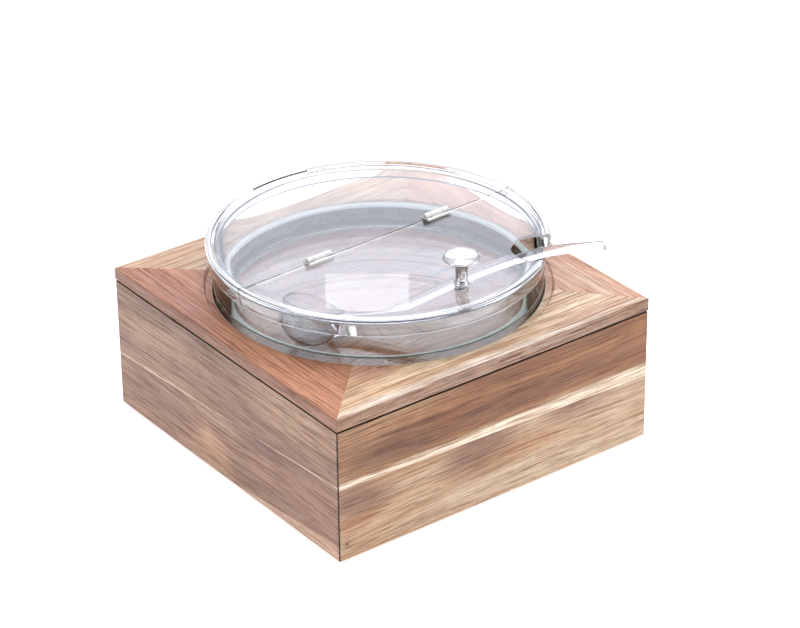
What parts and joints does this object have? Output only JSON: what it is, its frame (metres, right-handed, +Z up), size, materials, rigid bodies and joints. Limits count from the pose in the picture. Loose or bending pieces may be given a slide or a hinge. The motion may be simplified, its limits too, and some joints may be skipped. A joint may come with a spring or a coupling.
{
  "type": "covered cold server",
  "caption": "Square wooden box with a cold pan, a mitred lift-off frame, a round glass dish, a hinged clear lid with knob and notch, and a ladle.",
  "frame": {"origin": "middle of the square footprint, on the surface the feet rest on", "axes": "+Z up through the middle of the round dish; -Y is the front, where the lid opens; +X right"},
  "size_m": [0.33, 0.33, 0.2141],
  "materials": {
    "acacia": "oiled, boards of mixed colour",
    "acacia_top": "oiled, rails of mixed colour",
    "pine": "plain",
    "beech_key": "plain",
    "zinc_screw": "zinc plated",
    "rubber": "matt",
    "brushed_steel": "brushed",
    "brown_board": "dark oiled",
    "dish_glass": "clear, greenish edge",
    "clear_acrylic": "clear, polished",
    "chrome": "polished"
  },
  "bodies": {
    "box": {"front_board_upper": "acacia", "front_board_lower": "acacia", "pan_ledger_front": "pine", "right_board_upper": "acacia", "right_board_lower": "acacia", "pan_ledger_right": "pine", "back_board_upper": "acacia", "back_board_lower": "acacia", "pan_ledger_back": "pine", "left_board_upper": "acacia", "left_board_lower": "acacia", "pan_ledger_left": "pine", "base_panel": "pine", "corner_block_front_left": "pine", "base_screw_front_left": "zinc_screw", "foot_pad_front_left": "rubber", "corner_block_front_right": "pine", "base_screw_front_right": "zinc_screw", "foot_pad_front_right": "rubber", "corner_block_back_right": "pine", "base_screw_back_right": "zinc_screw", "foot_pad_back_right": "rubber", "corner_block_back_left": "pine", "base_screw_back_left": "zinc_screw", "foot_pad_back_left": "rubber"},
    "ice_pan": {"ice_pan": "brushed_steel"},
    "floor_board": {"floor_board": "brown_board"},
    "top_frame": {"frame_rail_front": "acacia_top", "frame_rail_right": "acacia_top", "frame_rail_back": "acacia_top", "frame_rail_left": "acacia_top", "mitre_key_front_left": "beech_key", "mitre_key_front_right": "beech_key", "mitre_key_back_right": "beech_key", "mitre_key_back_left": "beech_key"},
    "dish": {"glass_dish": "dish_glass"},
    "lid": {"lid_rear_half": "clear_acrylic", "hinge_leaf_rear_left": "clear_acrylic", "hinge_leaf_rear_right": "clear_acrylic", "hinge_pin_left": "chrome", "hinge_pin_right": "chrome"},
    "lid_flap": {"lid_front_flap": "clear_acrylic", "hinge_leaf_front_left": "clear_acrylic", "hinge_leaf_front_right": "clear_acrylic", "lid_knob": "chrome", "knob_washer": "chrome", "knob_screw": "chrome"},
    "ladle": {"ladle": "clear_acrylic"}
  },
  "joints": [
    {"name": "pan_lift", "type": "slide", "parent": "box", "child": "ice_pan", "axis": [0, 0, 1], "range_m": [0, 0.115]},
    {"name": "board_lift", "type": "slide", "parent": "ice_pan", "child": "floor_board", "axis": [0, 0, 1], "range_m": [0, 0.03]},
    {"name": "frame_lift", "type": "slide", "parent": "floor_board", "child": "top_frame", "axis": [0, 0, 1], "range_m": [0, 0.04]},
    {"name": "dish_lift", "type": "slide", "parent": "top_frame", "child": "dish", "axis": [0, 0, 1], "range_m": [0, 0.06]},
    {"name": "lid_lift", "type": "slide", "parent": "dish", "child": "lid", "axis": [0, 0, 1], "range_m": [0, 0.05]},
    {"name": "flap_hinge", "type": "hinge", "parent": "lid", "child": "lid_flap", "pos_m": [0, 0, 0.1859], "axis": [-0.9996, -0.0297, 0], "range_deg": [0, 160]},
    {"name": "ladle_swing", "type": "hinge", "parent": "dish", "child": "ladle", "pos_m": [0.0936, -0.106, 0.18], "axis": [0, 0, 1], "range_deg": [-50, 0]}
  ]
}
